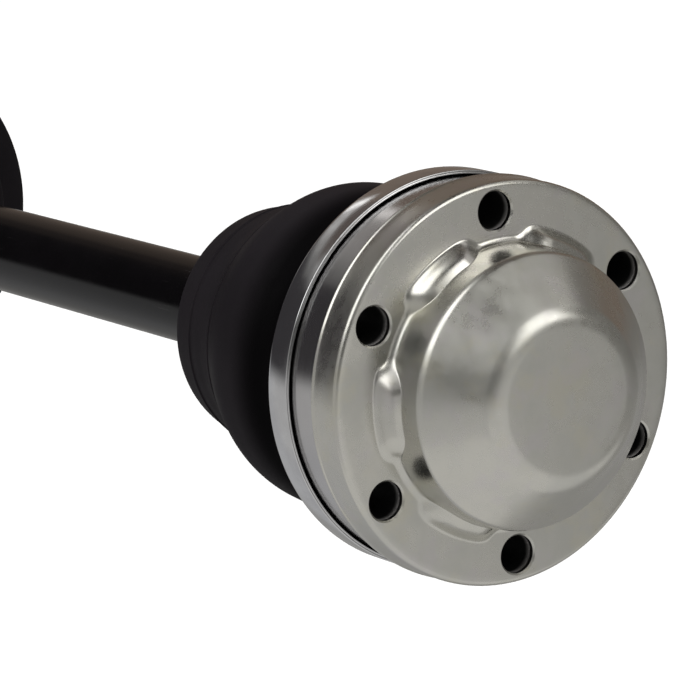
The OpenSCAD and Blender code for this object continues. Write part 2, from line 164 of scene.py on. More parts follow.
# Lobes over the balls
LOBE_RIM_R = 42.4
LOBE_EDGE = (3.7, 41.0)
LOBE_ROOT = (6.0, 37.4)
LOBE_HALF = 14.6
LOBE_DRAW = 0.75
LOBE_END_SLOPE = 1.0
LOBE_ROUND = 3.2
LOBE_FOOT_ROUND = 1.7
LOBE_STEP = 0.22
LOBE_MARGIN = 1.6
LOBE_PAST_RIM = 1.5
LOBE_UNDER_ROOT = 0.6
LOBE_OVER_ROOT = 3
LOBE_UNDER_FACE = 0.01

# Boot ring behind the joint body
RING_SHEET = 0.9
RING_R = 54.5
RING_LIP_X = -23.65
RING_REAR_X = -33.45
RING_ROUND = 2.0
RING_BEND = 0.9
HEM_SHEET = 0.56
HEM_L = 2.0
RING_NECK_R = 39.9
RING_NECK_X = -44.45

# Boots
BOOT_WALL = 1.5
BOOT_STEPS = 160
CURVE_STEPS = 12
FOLD_STEPS = 10
COLLAR_STEP = 1.5
STEP_RUN = 0.2
SEAT_L = 10
NECK_R = 14.35
NEAR_COLLAR_R = 41.5
NEAR_BIG_R = 46.0
NEAR_SMALL_R = 33.1
NEAR_COLLAR_X = -34.55
NEAR_START_X = -44.45
NEAR_END_X = -120.55
NEAR_CUTS = (-54, -86)
NEAR_BEND_X = (-45, -118)
FAR_COLLAR_R = 47.25
FAR_COLLAR_L = 9.8
FAR_LIP = 1.2
FAR_FOLD_R = 55.6
FAR_START_X = -384.15
FAR_END_X = -332.15
FAR_CUT = -358
FAR_BEND_X = (-381, -333)
MOULD_SEAMS = (-87.0, -103.0)
MOULD_RIB = 0.4
MOULD_RIB_HALF = 0.5
SAG = 0.6
SAG_X = -64.0
SAG_HALF = 19.0
# Painted shade on the near boot next to the boot ring, and a darker far boot: places along the axis, then the
# far boot's share
RING_SHADE_FROM_X = -66.5
RING_SHADE_FULL_X = -56.0
FAR_DARK_FROM_X = -200
FAR_DARK_FULL_X = -300
FAR_DARK_SHARE = 0.3

# Clamps
CLAMP_T = 0.8
CLAMP_W = 8.0
CLAMP_EDGE = 0.18
CLAMP_STEPS_PER_MM = 5
CLAMP_MIN_STEPS = 72
EAR_FOOT_HALF = 2.0
EAR_SIDE = ((-1.5, 0.6), (-1.5, 1.3), (-2.5, 2.1), (-2.6, 2.9), (-1.7, 3.4), (-0.7, 3.2))
EAR_DIP = (0, 3.0)
BAR_SEAT_R = 14.45
BELL_SEAT_R = 47.35
NEAR_CLAMP_X = -129.55
FAR_CLAMP_X = -331.15
BELL_CLAMP_X = -393.65

# Hub thread
THREAD_R = 11.0
THREAD_PITCH = 1.5
THREAD_DEPTH = 0.92
THREAD_START_X = -495.05
THREAD_END_X = -519.05
THREAD_CHAMFER = 1.2
THREAD_OVERLAP = 0.3
THREAD_STEPS = 64

TURN_STEPS = 192


# Selecting and shaping

def deselect_all():
    bpy.ops.object.select_all(action="DESELECT")


def make_active(piece):
    deselect_all()
    piece.select_set(True)
    bpy.context.view_layer.objects.active = piece


def smooth(piece):
    make_active(piece)
    bpy.ops.object.shade_smooth_by_angle(angle=SMOOTH_ANGLE)


def apply_modifier(piece, kind, **settings):
    """Adds a modifier with its settings and applies it."""
    make_active(piece)
    modifier = piece.modifiers.new(kind.lower(), kind)
    for key, value in settings.items():
        setattr(modifier, key, value)
    bpy.ops.object.modifier_apply(modifier=modifier.name)


def drawn_line(name, points):
    """A chain of edges through points in metres, left in edit mode with its last point selected."""
    deselect_all()
    bpy.ops.mesh.primitive_plane_add(size=MM)
    piece = bpy.context.object
    piece.name = piece.data.name = name
    bpy.ops.object.mode_set(mode="EDIT")
    bpy.ops.mesh.select_all(action="SELECT")
    bpy.ops.mesh.merge(type="CENTER")
    bpy.ops.transform.translate(value=points[0])
    for a, b in zip(points, points[1:]):
        bpy.ops.mesh.extrude_vertices_move(TRANSFORM_OT_translate={"value": b - a})
    return piece


def turned(name, outline, steps=TURN_STEPS):
    """A skin turned about the shaft's axis from stations of (place along the axis, radius)."""
    piece = drawn_line(name, [Vector((x, 0, r)) * MM for x, r in outline])
    bpy.ops.mesh.select_all(action="SELECT")
    bpy.ops.mesh.spin(steps=steps, angle=math.tau, center=(0, 0, 0), axis=(1, 0, 0))
    bpy.ops.mesh.select_all(action="SELECT")
    bpy.ops.mesh.remove_doubles(threshold=MERGE)
    bpy.ops.mesh.normals_make_consistent(inside=False)
    bpy.ops.object.mode_set(mode="OBJECT")
    smooth(piece)
    return piece


def cut_away(piece, cutter):
    """Takes a cutter's form out of the piece and throws the cutter away."""
    apply_modifier(piece, "BOOLEAN", operation="DIFFERENCE", solver="EXACT", object=cutter)
    bpy.data.objects.remove(cutter)
    smooth(piece)


def bolt_cutter(rear_x, front_x):
    """Six rods on the bolt circle, flared where they leave the front face."""
    flare = HOLE_CHAMFER + CUT_PAST
    rear, front = rear_x - CUT_PAST, front_x + CUT_PAST
    rod = turned("bolt_cutter", [(rear, 0), (rear, HOLE_R), (front_x - HOLE_CHAMFER, HOLE_R),
                                 (front, HOLE_R + flare), (front, 0)], CUT_STEPS)
    rods = [rod]
    for i in range(1, BOLTS):
        copy = bpy.data.objects.new(f"bolt_cutter_{i}", rod.data.copy())
        bpy.context.collection.objects.link(copy)
        rods.append(copy)
    outward = Matrix.Translation((0, 0, BOLT_R * MM))
    for i, part in enumerate(rods):
        part.data.transform(Matrix.Rotation(math.tau * i / BOLTS, 4, "X") @ outward)
    make_active(rod)
    for part in rods:
        part.select_set(True)
    bpy.ops.object.join()
    return rod


# Outlines

def mix(a, b, share):
    return a + (b - a) * share


def arc(centre, r, start, end, steps):
    """Stations of an arc; angles run from the axis direction (0) to straight out (90)."""
    angles = [math.radians(mix(start, end, i / steps)) for i in range(steps + 1)]
    return [(centre[0] + r * math.cos(a), centre[1] + r * math.sin(a)) for a in angles]


def spread(a, b, step):
    """Evenly spaced stations from a to b, without a."""
    count = max(1, math.ceil(math.dist(a, b) / step))
    return [(mix(a[0], b[0], i / count), mix(a[1], b[1], i / count)) for i in range(1, count + 1)]


def smooth_line(stations, steps):
    """Smooth curve through the stations."""
    line = []
    last = len(stations) - 1
    for i in range(last):
        p = [stations[max(i - 1, 0)], stations[i], stations[i + 1], stations[min(i + 2, last)]]
        for s in range(steps):
            t = s / steps
            weights = (-t + 2 * t**2 - t**3, 2 - 5 * t**2 + 3 * t**3, t + 4 * t**2 - 3 * t**3, t**3 - t**2)
            line.append(tuple(sum(w * q[axis] for w, q in zip(weights, p)) / 2 for axis in (0, 1)))
    return line + [stations[last]]


def folds(stations, steps):
    """Line that swings in half waves between crests and valleys."""
    line = []
    shares = [s / steps for s in range(steps)]
    for (xa, ra), (xb, rb) in zip(stations, stations[1:]):
        line += [(mix(xa, xb, share), mix(ra, rb, (1 - math.cos(math.pi * share)) / 2)) for share in shares]
    return line + [stations[-1]]


def inner_line(line, wall):
    """The line one wall thickness nearer to the axis; it must run one way along the axis."""
    side = -1 if line[-1][0] > line[0][0] else 1
    inside = []
    for i, (x, r) in enumerate(line):
        a, b = line[max(i - 1, 0)], line[min(i + 1, len(line) - 1)]
        length = math.dist(a, b)
        dx, dr = (b[0] - a[0]) / length, (b[1] - a[1]) / length
        inside.append((x - side * dr * wall, r + side * dx * wall))
    return inside


# End cap

def dome_line():
    """Outer line of the dome, from the mating face to the axis."""
    rise, run_in = DOME_TOP[0] - DOME_SHOULDER[0], DOME_SHOULDER[1] - DOME_TOP[1]
    slope = math.degrees(math.atan2(rise, run_in))
    lean = math.degrees(math.atan2(DOME_BASE_R - DOME_SHOULDER[1], DOME_SHOULDER[0]))
    tuck = math.tan(math.radians(slope / 2))
    shoulder = (DOME_SHOULDER[0] - DOME_SHOULDER_ROUND * tuck, DOME_SHOULDER[1] - DOME_SHOULDER_ROUND)
    crown = (DOME_TOP[0] - DOME_TOP_ROUND, DOME_TOP[1] - DOME_TOP_ROUND * tuck)
    foot = (DOME_BASE_ROUND, DOME_BASE_R + DOME_BASE_ROUND)
    line = arc(foot, DOME_BASE_ROUND, 180, 270 + lean, 6)
    top = arc(shoulder, DOME_SHOULDER_ROUND, 90 - lean, slope, 10)
    line += spread(line[-1], top[0], WALL_STEP) + top[1:]
    crown_arc = arc(crown, DOME_TOP_ROUND, slope, 0, 14)
    line += spread(line[-1], crown_arc[0], SLOPE_STEP) + crown_arc[1:]
    return line + spread(line[-1], (DOME_TOP[0], 0), FLAT_STEP)


def cap_outline():
    """Closed section of the pressed cap, from the skirt's edge over the dome to the axis and back inside."""
    face_start = LOBE_RIM_R + LOBE_MARGIN
    rim = arc((-CAP_RIM_ROUND, CAP_OUT_R - CAP_RIM_ROUND), CAP_RIM_ROUND, 90, 0, 8)
    flare_r = CAP_OUT_R + CAP_FLARE
    edge = arc((CAP_EDGE_ROUND - CAP_SKIRT, flare_r - CAP_EDGE_ROUND), CAP_EDGE_ROUND, 180, 90, 4)
    dome = dome_line()
    flare = [(mix(edge[-1][0], CAP_FLARE_L - CAP_SKIRT, s), mix(flare_r, CAP_OUT_R, s * s * (3 - 2 * s)))
             for s in (0.2, 0.4, 0.6, 0.8, 1)]
    outer = [(-CAP_SKIRT, CAP_IN_R)] + edge + flare + spread(flare[-1], rim[0], FLAT_STEP) + rim[1:]
    outer += spread(outer[-1], (0, face_start), FACE_STEP)
    outer += spread(outer[-1], dome[0], LOBE_STEP) + dome[1:]
    under = inner_line(dome, CAP_SHEET)
    under[0], under[-1] = (-CAP_SHEET, dome[0][1]), (DOME_TOP[0] - CAP_SHEET, 0)
    inner = under[::-1] + spread(under[0], (-CAP_SHEET, face_start), 2 * LOBE_STEP)
    return outer + inner + [(-CAP_SHEET, CAP_IN_R), (-CAP_SKIRT, CAP_IN_R)]


def soft_min(a, b, k):
    return min(a, b) - max(k - abs(a - b), 0) ** 2 / (4 * k)


def soft_max(a, b, k):
    return -soft_min(-a, -b, k)


def lobe_height(r, across, inset):
    """Height of a lobe over the mating face at a radius and a distance from its middle line."""
    rim, half = LOBE_RIM_R - inset, LOBE_HALF - inset
    edge, root = (LOBE_EDGE[0], LOBE_EDGE[1] - inset), (LOBE_ROOT[0], LOBE_ROOT[1] - inset)
    side = edge[0] * (rim - r) / (rim - edge[1])
    top = mix(root[0], edge[0], (r - root[1]) / (edge[1] - root[1]))
    end = LOBE_END_SLOPE * (half - LOBE_DRAW * (r - root[1]) - abs(across))
    return soft_min(soft_min(side, top, LOBE_ROUND), end, LOBE_ROUND) - inset


def on_inside(x, r):
    """True for the inner skin of the face, of the foot's bend and of the dome's wall."""
    foot_x, foot_r = DOME_BASE_ROUND, DOME_BASE_R + DOME_BASE_ROUND
    under_bend = math.dist((x, r), (foot_x, foot_r)) > DOME_BASE_ROUND + CAP_SHEET / 2
    in_bend = x < foot_x and r < foot_r and under_bend
    return in_bend or x < -CAP_SHEET / 2 or r < DOME_SHOULDER[1] - CAP_SHEET / 3


def press_lobes(cap):
    """Pushes the six lobes out of the face and the foot of the dome, inside and outside alike."""
    step = math.tau / BOLTS
    for v in cap.data.vertices:
        x, r = v.co.x / MM, math.hypot(v.co.y, v.co.z) / MM
        inset = CAP_SHEET if on_inside(x, r) else 0
        root_r = LOBE_ROOT[1] - inset
        in_ring = root_r - LOBE_UNDER_ROOT < r < LOBE_RIM_R - inset + LOBE_PAST_RIM
        near_face = -inset - LOBE_UNDER_FACE < x < LOBE_ROOT[0] + LOBE_OVER_ROOT
        if not (in_ring and near_face):
            continue
        off = (math.atan2(v.co.y, v.co.z) % step) - step / 2
        height = lobe_height(max(r, root_r), r * math.sin(off), inset)
        v.co.x = max(x, soft_max(x, height, LOBE_FOOT_ROUND)) * MM


def pressed_cap():
    """Pressed sheet cap with its dome, lobes, skirt and bolt holes."""
    cap = turned("pressed_cap", cap_outline(), CAP_STEPS)
    press_lobes(cap)
    cut_away(cap, bolt_cutter(-CAP_SHEET, 0))
    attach(cap, "flange")
    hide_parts("end_cap")
    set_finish(cap, "cap_zinc")


# Boot ring

def boot_ring():
    """Pressed ring behind the joint body: a hemmed lip round it, a flat rear and a neck for the boot."""
    half = RING_SHEET / 2
    hem = HEM_SHEET / 2
    lip = arc((RING_LIP_X - hem, RING_R - hem), hem, 90, -60, 6)
    lip += arc((RING_LIP_X - hem, RING_R - 3 * hem), hem, 60, -90, 6)
    lip += [(RING_LIP_X - HEM_L, RING_R - 4 * hem), (RING_LIP_X - HEM_L - hem, RING_R - RING_SHEET)]
    rear = arc((RING_REAR_X + RING_ROUND, RING_R - RING_ROUND), RING_ROUND, 180, 90, 6)
    bend = arc((RING_REAR_X - RING_BEND, RING_NECK_R + RING_BEND), RING_BEND, 270, 360, 5)
    tip = arc((RING_NECK_X + half, RING_NECK_R - half), half, 270, 90, 6)
    inside_rear = arc((RING_REAR_X + RING_ROUND, RING_R - RING_ROUND), RING_ROUND - RING_SHEET, 90, 180, 5)
    inside_bend = arc((RING_REAR_X - RING_BEND, RING_NECK_R + RING_BEND), RING_BEND + RING_SHEET, 360, 270, 5)
    outline = tip + bend + rear + lip + inside_rear + inside_bend
    ring = turned("boot_ring", outline + outline[:1])
    cut_away(ring, bolt_cutter(RING_REAR_X, RING_REAR_X + RING_SHEET))
    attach(ring, "flange")
    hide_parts("boot_adapter")
    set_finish(ring, "bright_plate")


# Rubber boots

def with_mould_lines(line):
    """The line with a fine raised rib at each seam of the mould."""
    ribbed = list(line)
    for seam in MOULD_SEAMS:
        after = next(i for i, (x, _) in enumerate(ribbed) if x < seam - MOULD_RIB_HALF)
        before = max(i for i, (x, _) in enumerate(ribbed) if x > seam + MOULD_RIB_HALF)
        (xa, ra), (xb, rb) = ribbed[before], ribbed[after]
        rib = [(x, mix(ra, rb, (x - xa) / (xb - xa)) + MOULD_RIB * rise)
               for x, rise in ((seam + MOULD_RIB_HALF, 0), (seam + MOULD_RIB_HALF / 2, 0.8), (seam, 1),
                               (seam - MOULD_RIB_HALF / 2, 0.8), (seam - MOULD_RIB_HALF, 0))]
        ribbed[before + 1:after] = rib
    return ribbed


def sag(section):
    """Lets the big fold hang a little, as a boot that has stood does."""
    for v in section.data.vertices:
        share = max(0, 1 - abs(v.co.x / MM - SAG_X) / SAG_HALF)
        v.co.z -= SAG * MM * share * share * (3 - 2 * share)


def near_boot_line():
    """Outer line of the flange boot, from the ring's neck to the clamp seat on the bar."""
    # Pairs of the share of the boot's length and the share of the climb between two radii
    rising = [(0.11, 0.1), (0.16, 0.45), (0.21, 0.85)]
    falling = [(0.38, 0.96), (0.47, 0.75), (0.58, 0.41), (0.66, 0.25), (0.73, 0.2), (0.81, 0.12)]
    closing = [(0.945, 0.83), (0.978, 0.45)]
    shape = [(0.06, NEAR_COLLAR_R)] + [(s, mix(NEAR_COLLAR_R, NEAR_BIG_R, up)) for s, up in rising]
    shape += [(0.28, NEAR_BIG_R)] + [(s, mix(NEAR_SMALL_R, NEAR_BIG_R, up)) for s, up in falling]
    shape += [(0.9, NEAR_SMALL_R)] + [(s, mix(NECK_R, NEAR_SMALL_R, up)) for s, up in closing]
    stations = [(NEAR_START_X + STEP_RUN, NEAR_COLLAR_R)]
    stations += [(mix(NEAR_START_X, NEAR_END_X, s), r) for s, r in shape] + [(NEAR_END_X, NECK_R)]
    body = with_mould_lines(smooth_line(stations, CURVE_STEPS))
    collar = (NEAR_COLLAR_X, NEAR_COLLAR_R)
    return [collar] + spread(collar, body[0], COLLAR_STEP) + body[1:] + [(NEAR_END_X - SEAT_L, NECK_R)]


def far_boot_line():
    """Outer line of the far boot, from the bell's clamp seat to the clamp seat on the bar."""
    crests = [(0.16, 0.96), (0.33, 0.74), (0.5, 1), (0.62, 0.56), (0.72, 0.66), (0.82, 0.27), (0.9, 0.33)]
    stations = [(FAR_START_X - STEP_RUN, FAR_COLLAR_R + FAR_LIP)]
    stations += [(mix(FAR_START_X, FAR_END_X, s), mix(NECK_R, FAR_FOLD_R, up)) for s, up in crests]
    collar = [(FAR_START_X - FAR_COLLAR_L, FAR_COLLAR_R), (FAR_START_X - FAR_LIP - STEP_RUN, FAR_COLLAR_R)]
    return collar + folds(stations + [(FAR_END_X, NECK_R)], FOLD_STEPS) + [(FAR_END_X + SEAT_L, NECK_R)]


def boot_section(name, line, first, last):
    """One closed stretch of a boot wall, between two stations of its line."""
    outer = line[first:last + 1]
    inner = inner_line(line, BOOT_WALL)[first:last + 1]
    outline = outer + inner[::-1]
    section = turned(name, outline + outline[:1], BOOT_STEPS)
    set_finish(section, "boot_rubber")
    return section


def nearest_station(line, x):
    return min(range(len(line)), key=lambda i: abs(line[i][0] - x))


def boot(node, line, cuts, joins):
    """A boot in stretches cut at the given places, in the order of the line."""
    marks = [0] + [nearest_station(line, x) for x in cuts] + [len(line) - 1]
    for i, (bodies, ends) in enumerate(joins):
        section = boot_section(f"{node}_{i + 1}", line, marks[i], marks[i + 1])
        sag(section)
        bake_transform(section)
        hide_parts(node)


def rubber_boots():
    near = near_boot_line()
    far = far_boot_line()
    near_x = [near[nearest_station(near, x)][0] for x in NEAR_CUTS]
    far_x = far[nearest_station(far, FAR_CUT)][0]
    boot("plunge_boot", near, NEAR_CUTS, [
        (("flange", "boot_carrier"), (NEAR_BEND_X[0], near_x[0])),
        (("boot_carrier", "plunge_ball_set"), (near_x[0], near_x[1])),
        (("plunge_ball_set", "shaft"), (near_x[1], NEAR_BEND_X[1]))])
    boot("fixed_boot", far, [FAR_CUT], [
        (("stub", "fixed_ball_set"), (FAR_BEND_X[0], far_x)),
        (("fixed_ball_set", "shaft"), (far_x, FAR_BEND_X[1]))])


# Ear clamps

def ear_clamp(node, x, r, body):
    """Band round a boot, with a pinched ear on top."""
    middle = r + CLAMP_T / 2
    foot = math.asin(EAR_FOOT_HALF / middle)
    count = max(CLAMP_MIN_STEPS, int(middle * CLAMP_STEPS_PER_MM))
    band = [(middle * math.sin(a), middle * math.cos(a))
            for a in (mix(foot, math.tau - foot, i / count) for i in range(count + 1))]
    ear = [*EAR_SIDE, EAR_DIP] + [(-y, z) for y, z in EAR_SIDE[::-1]]
    outline = band + [(y, middle + z) for y, z in ear]
    points = [Vector((x, y, z)) * MM for y, z in outline]
    clamp = drawn_line(node + "_band", points + points[:1])
    bpy.ops.mesh.select_all(action="SELECT")
    bpy.ops.mesh.remove_doubles(threshold=MERGE)
    bpy.ops.mesh.extrude_edges_move(TRANSFORM_OT_translate={"value": (CLAMP_W * MM, 0, 0)})
    bpy.ops.mesh.select_all(action="SELECT")
    bpy.ops.mesh.normals_make_consistent(inside=False)
    bpy.ops.object.mode_set(mode="OBJECT")
    apply_modifier(clamp, "SOLIDIFY", thickness=CLAMP_T * MM, offset=0.0)
    apply_modifier(clamp, "BEVEL", width=CLAMP_EDGE * MM, segments=2, limit_method="ANGLE")
    smooth(clamp)
    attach(clamp, body)
    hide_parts(node)
    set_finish(clamp, "clamp_steel")


def ear_clamps():
    ear_clamp("plunge_boot_clamp", NEAR_CLAMP_X, BAR_SEAT_R, "shaft")
    ear_clamp("fixed_boot_clamp_small", FAR_CLAMP_X, BAR_SEAT_R, "shaft")
    ear_clamp("fixed_boot_clamp_large", BELL_CLAMP_X, BELL_SEAT_R, "stub")


# Stub with its hub thread

def stub_forging():
    """The stub's solid without its plain end, which the thread takes over."""
    stub = bpy.data.objects.new("stub_forging", frame["nodes"]["stub_axle"].data.copy())
    bpy.context.collection.objects.link(stub)
    make_active(stub)
    bpy.ops.object.mode_set(mode="EDIT")
    bpy.ops.mesh.select_all(action="SELECT")
    bpy.ops.mesh.remove_doubles(threshold=MERGE)
    bpy.ops.mesh.bisect(plane_co=((THREAD_START_X - THREAD_OVERLAP) * MM, 0, 0), plane_no=(1, 0, 0),
                        clear_inner=True, use_fill=True, threshold=MERGE)
    bpy.ops.object.mode_set(mode="OBJECT")
    bpy.ops.mesh.customdata_custom_splitnormals_clear()
    smooth(stub)
    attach(stub, "stub")
    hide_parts("stub_axle")
    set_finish(stub, "forged_steel")


def hub_thread():
    """Helical thread on the end of the stub, cut flat at both ends and chamfered at the tip."""
    root_r = THREAD_R - THREAD_DEPTH
    crest = THREAD_PITCH / 8
    begin = THREAD_START_X + THREAD_PITCH
    tooth = [(begin, root_r), (begin - THREAD_PITCH / 2 + crest, THREAD_R),
             (begin - THREAD_PITCH / 2 - crest, THREAD_R), (begin - THREAD_PITCH, root_r)]
    thread = drawn_line("hub_thread", [Vector((x, 0, r)) * MM for x, r in tooth])
    bpy.ops.object.mode_set(mode="OBJECT")
    turns = math.ceil((THREAD_START_X - THREAD_END_X) / THREAD_PITCH) + 2
    apply_modifier(thread, "SCREW", axis="X", screw_offset=-THREAD_PITCH * MM, iterations=turns,
                   steps=THREAD_STEPS, render_steps=THREAD_STEPS, use_merge_vertices=True,
                   merge_threshold=SCREW_MERGE)
    bpy.ops.object.mode_set(mode="EDIT")
    bpy.ops.mesh.select_all(action="SELECT")
    bpy.ops.mesh.remove_doubles(threshold=SCREW_MERGE)
    for x, inward in ((THREAD_START_X, -1), (THREAD_END_X, 1)):
        bpy.ops.mesh.select_all(action="SELECT")
        bpy.ops.mesh.bisect(plane_co=(x * MM, 0, 0), plane_no=(inward, 0, 0), clear_inner=True, use_fill=True,
                            threshold=MERGE)
    bpy.ops.mesh.select_all(action="SELECT")
    bpy.ops.mesh.normals_make_consistent(inside=False)
    bpy.ops.object.mode_set(mode="OBJECT")
    for v in thread.data.vertices:
        limit = THREAD_R - THREAD_CHAMFER + v.co.x / MM - THREAD_END_X
        r = math.hypot(v.co.y, v.co.z) / MM
        if r > limit:
            v.co.yz = v.co.yz * (limit / r)
    smooth(thread)
    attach(thread, "stub")
    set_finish(thread, "forged_steel")


# Finishes

def place(tree, kind, settings=None, **inputs):
    """One shader node with its settings and with inputs given as values or as other nodes' outputs."""
    made = tree.nodes.new("ShaderNode" + kind)
    for key, value in (settings or {}).items():
        setattr(made, key, value)
    for key, value in inputs.items():
        socket = made.inputs[int(key[1:])] if key[1:].isdigit() else made.inputs[key.replace("_", " ")]
        if isinstance(value, bpy.types.NodeSocket):
            tree.links.new(value, socket)
        else:
            socket.default_value = value
    return made


def math_node(tree, operation, *values):
    """Output of a Math node."""
    inputs = {f"i{i}": value for i, value in enumerate(values)}
    return place(tree, "Math", {"operation": operation}, **inputs).outputs[0]


def plus(tree, a, b):
    return math_node(tree, "ADD", a, b)


def minus(tree, a, b):
    return math_node(tree, "SUBTRACT", a, b)


def times(tree, a, b):
    return math_node(tree, "MULTIPLY", a, b)


def ramp(tree, value, low, high, to_low=0.0, to_high=1.0):
    """Smooth change from one value to another as the input crosses a range."""
    return place(tree, "MapRange", {"interpolation_type": "SMOOTHSTEP"}, Value=value, From_Min=low,
                 From_Max=high, To_Min=to_low, To_Max=to_high).outputs[0]


def blend_colour(tree, share, a, b):
    made = place(tree, "Mix", {"data_type": "RGBA"}, i0=share)
    for socket, value in ((made.inputs[6], a), (made.inputs[7], b)):
        if isinstance(value, bpy.types.NodeSocket):
            tree.links.new(value, socket)
        else:
            socket.default_value = (*value, 1)
    return made.outputs[2]


def new_group(name, inputs, outputs):
    """Empty shader group with float inputs and outputs, and its two end nodes."""
    group = bpy.data.node_groups.new(name, "ShaderNodeTree")
    for label, value in inputs.items():
        group.interface.new_socket(label, in_out="INPUT", socket_type="NodeSocketFloat").default_value = value
    for label in outputs:
        group.interface.new_socket(label, in_out="OUTPUT", socket_type="NodeSocketFloat")
    return group, group.nodes.new("NodeGroupInput"), group.nodes.new("NodeGroupOutput")


def millimetres(tree):
    """Object coordinates in millimetres."""
    coords = tree.nodes.new("ShaderNodeTexCoord").outputs["Object"]
    return place(tree, "VectorMath", {"operation": "SCALE"}, i0=coords, Scale=1 / MM).outputs[0]


def polar(tree, point):
    """Place along the axis, distance from it and angle round it, from the top."""
    parts = place(tree, "SeparateXYZ", i0=point).outputs
    square = plus(tree, times(tree, parts[1], parts[1]), times(tree, parts[2], parts[2]))
    radius = math_node(tree, "SQRT", square)
    return parts[0], radius, math_node(tree, "ARCTAN2", parts[1], parts[2])


def turning_lines_group():
    """Fine lines round the axis, as left by turning and grinding."""
    tree, given, result = new_group("turning_lines", {"Lines per mm": 3.0, "Waver": 0.1}, ["Lines"])
    point = millimetres(tree)
    along, radius, _ = polar(tree, point)
    drift = place(tree, "TexNoise", Vector=point, Scale=0.08, Detail=1.0).outputs[0]
    swing = times(tree, drift, given.outputs["Waver"])
    place_x = times(tree, plus(tree, along, swing), given.outputs["Lines per mm"])
    place_r = times(tree, plus(tree, radius, swing), given.outputs["Lines per mm"])
    lines = place(tree, "TexNoise", Vector=place(tree, "CombineXYZ", i0=place_x, i1=place_r).outputs[0],
                  Scale=1.0, Detail=3.0, Roughness=0.6)
    tree.links.new(lines.outputs[0], result.inputs["Lines"])
    return tree


def clouding_group():
    """Soft uneven patches."""
    tree, given, result = new_group("clouding", {"Patch per mm": 0.05, "Low": 0.35, "High": 0.65}, ["Cloud"])
    noise = place(tree, "TexNoise", Vector=millimetres(tree), Scale=given.outputs["Patch per mm"], Detail=5.0,
                  Roughness=0.62)
    cloud = ramp(tree, noise.outputs[0], given.outputs["Low"], given.outputs["High"])
    tree.links.new(cloud, result.inputs["Cloud"])
    return tree


def scratches_group():
    """Sparse thin scratches in two directions."""
    tree, given, result = new_group("scratches", {"Density": 0.05}, ["Scratch"])
    point = millimetres(tree)
    total = None
    for turn, stretch in (((0.3, 0.9, 0.2), (0.05, 3.0, 3.0)), ((1.1, 0.4, 0.8), (3.0, 0.04, 3.0))):
        mapped = place(tree, "Mapping", Vector=point, Rotation=turn, Scale=stretch).outputs[0]
        fine = place(tree, "TexNoise", Vector=mapped, Scale=1.0, Detail=2.0).outputs[0]
        line = ramp(tree, fine, 0.68, 0.74)
        total = line if total is None else math_node(tree, "MAXIMUM", total, line)
    patch = place(tree, "TexNoise", Vector=point, Scale=given.outputs["Density"], Detail=2.0).outputs[0]
    tree.links.new(times(tree, total, ramp(tree, patch, 0.5, 0.62)), result.inputs["Scratch"])
    return tree


def specks_group():
    """Tiny pits and grains of dirt."""
    tree, given, result = new_group("specks", {"Spacing per mm": 0.12, "Size": 0.03}, ["Speck"])
    cells = place(tree, "TexVoronoi", Vector=millimetres(tree), Scale=given.outputs["Spacing per mm"])
    small = math_node(tree, "LESS_THAN", cells.outputs["Distance"], given.outputs["Size"])
    tree.links.new(small, result.inputs["Speck"])
    return tree


def bolt_hole_group():
    """One inside the six bolt holes, nought elsewhere."""
    tree, given, result = new_group("bolt_holes", {"Radius": HOLE_R + CAP_HOLE_MARGIN}, ["Inside"])
    _, radius, angle = polar(tree, millimetres(tree))
    half = math.pi / BOLTS
    near = math_node(tree, "WRAP", angle, half, -half)
    across = times(tree, radius, math_node(tree, "SINE", near))
    out = minus(tree, times(tree, radius, math_node(tree, "COSINE", near)), BOLT_R)
    distance = math_node(tree, "SQRT", plus(tree, times(tree, across, across), times(tree, out, out)))
    tree.links.new(math_node(tree, "LESS_THAN", distance, given.outputs["Radius"]), result.inputs["Inside"])
    return tree


GROUPS = {tree.name: tree for tree in (turning_lines_group(), clouding_group(), scratches_group(),
                                       specks_group(), bolt_hole_group())}


def use(tree, name, **inputs):
    """Output of one of the shared groups, placed in a material."""
    made = tree.nodes.new("ShaderNodeGroup")
    made.node_tree = GROUPS[name]
    for key, value in inputs.items():
        made.inputs[key.replace("_", " ")].default_value = value
    return made.outputs[0]


def finish(name, **constants):
    """A new material and its Principled shader with the constant sockets set."""
    material = bpy.data.materials.new(name)
    material.use_nodes = True
    tree = material.node_tree
    shader = tree.nodes["Principled BSDF"]
    for key, value in constants.items():
        shader.inputs[key.replace("_", " ")].default_value = value
    return material, tree, shader


def feed(tree, shader, colour, roughness, height, strength, distance):
    """Links a colour, a roughness and a bump height to the shader; the bump's distance is in millimetres."""
    bump = place(tree, "Bump", Strength=strength, Distance=distance * MM, Height=height)
    tree.links.new(colour, shader.inputs["Base Color"])
    tree.links.new(roughness, shader.inputs["Roughness"])
    tree.links.new(bump.outputs[0], shader.inputs["Normal"])


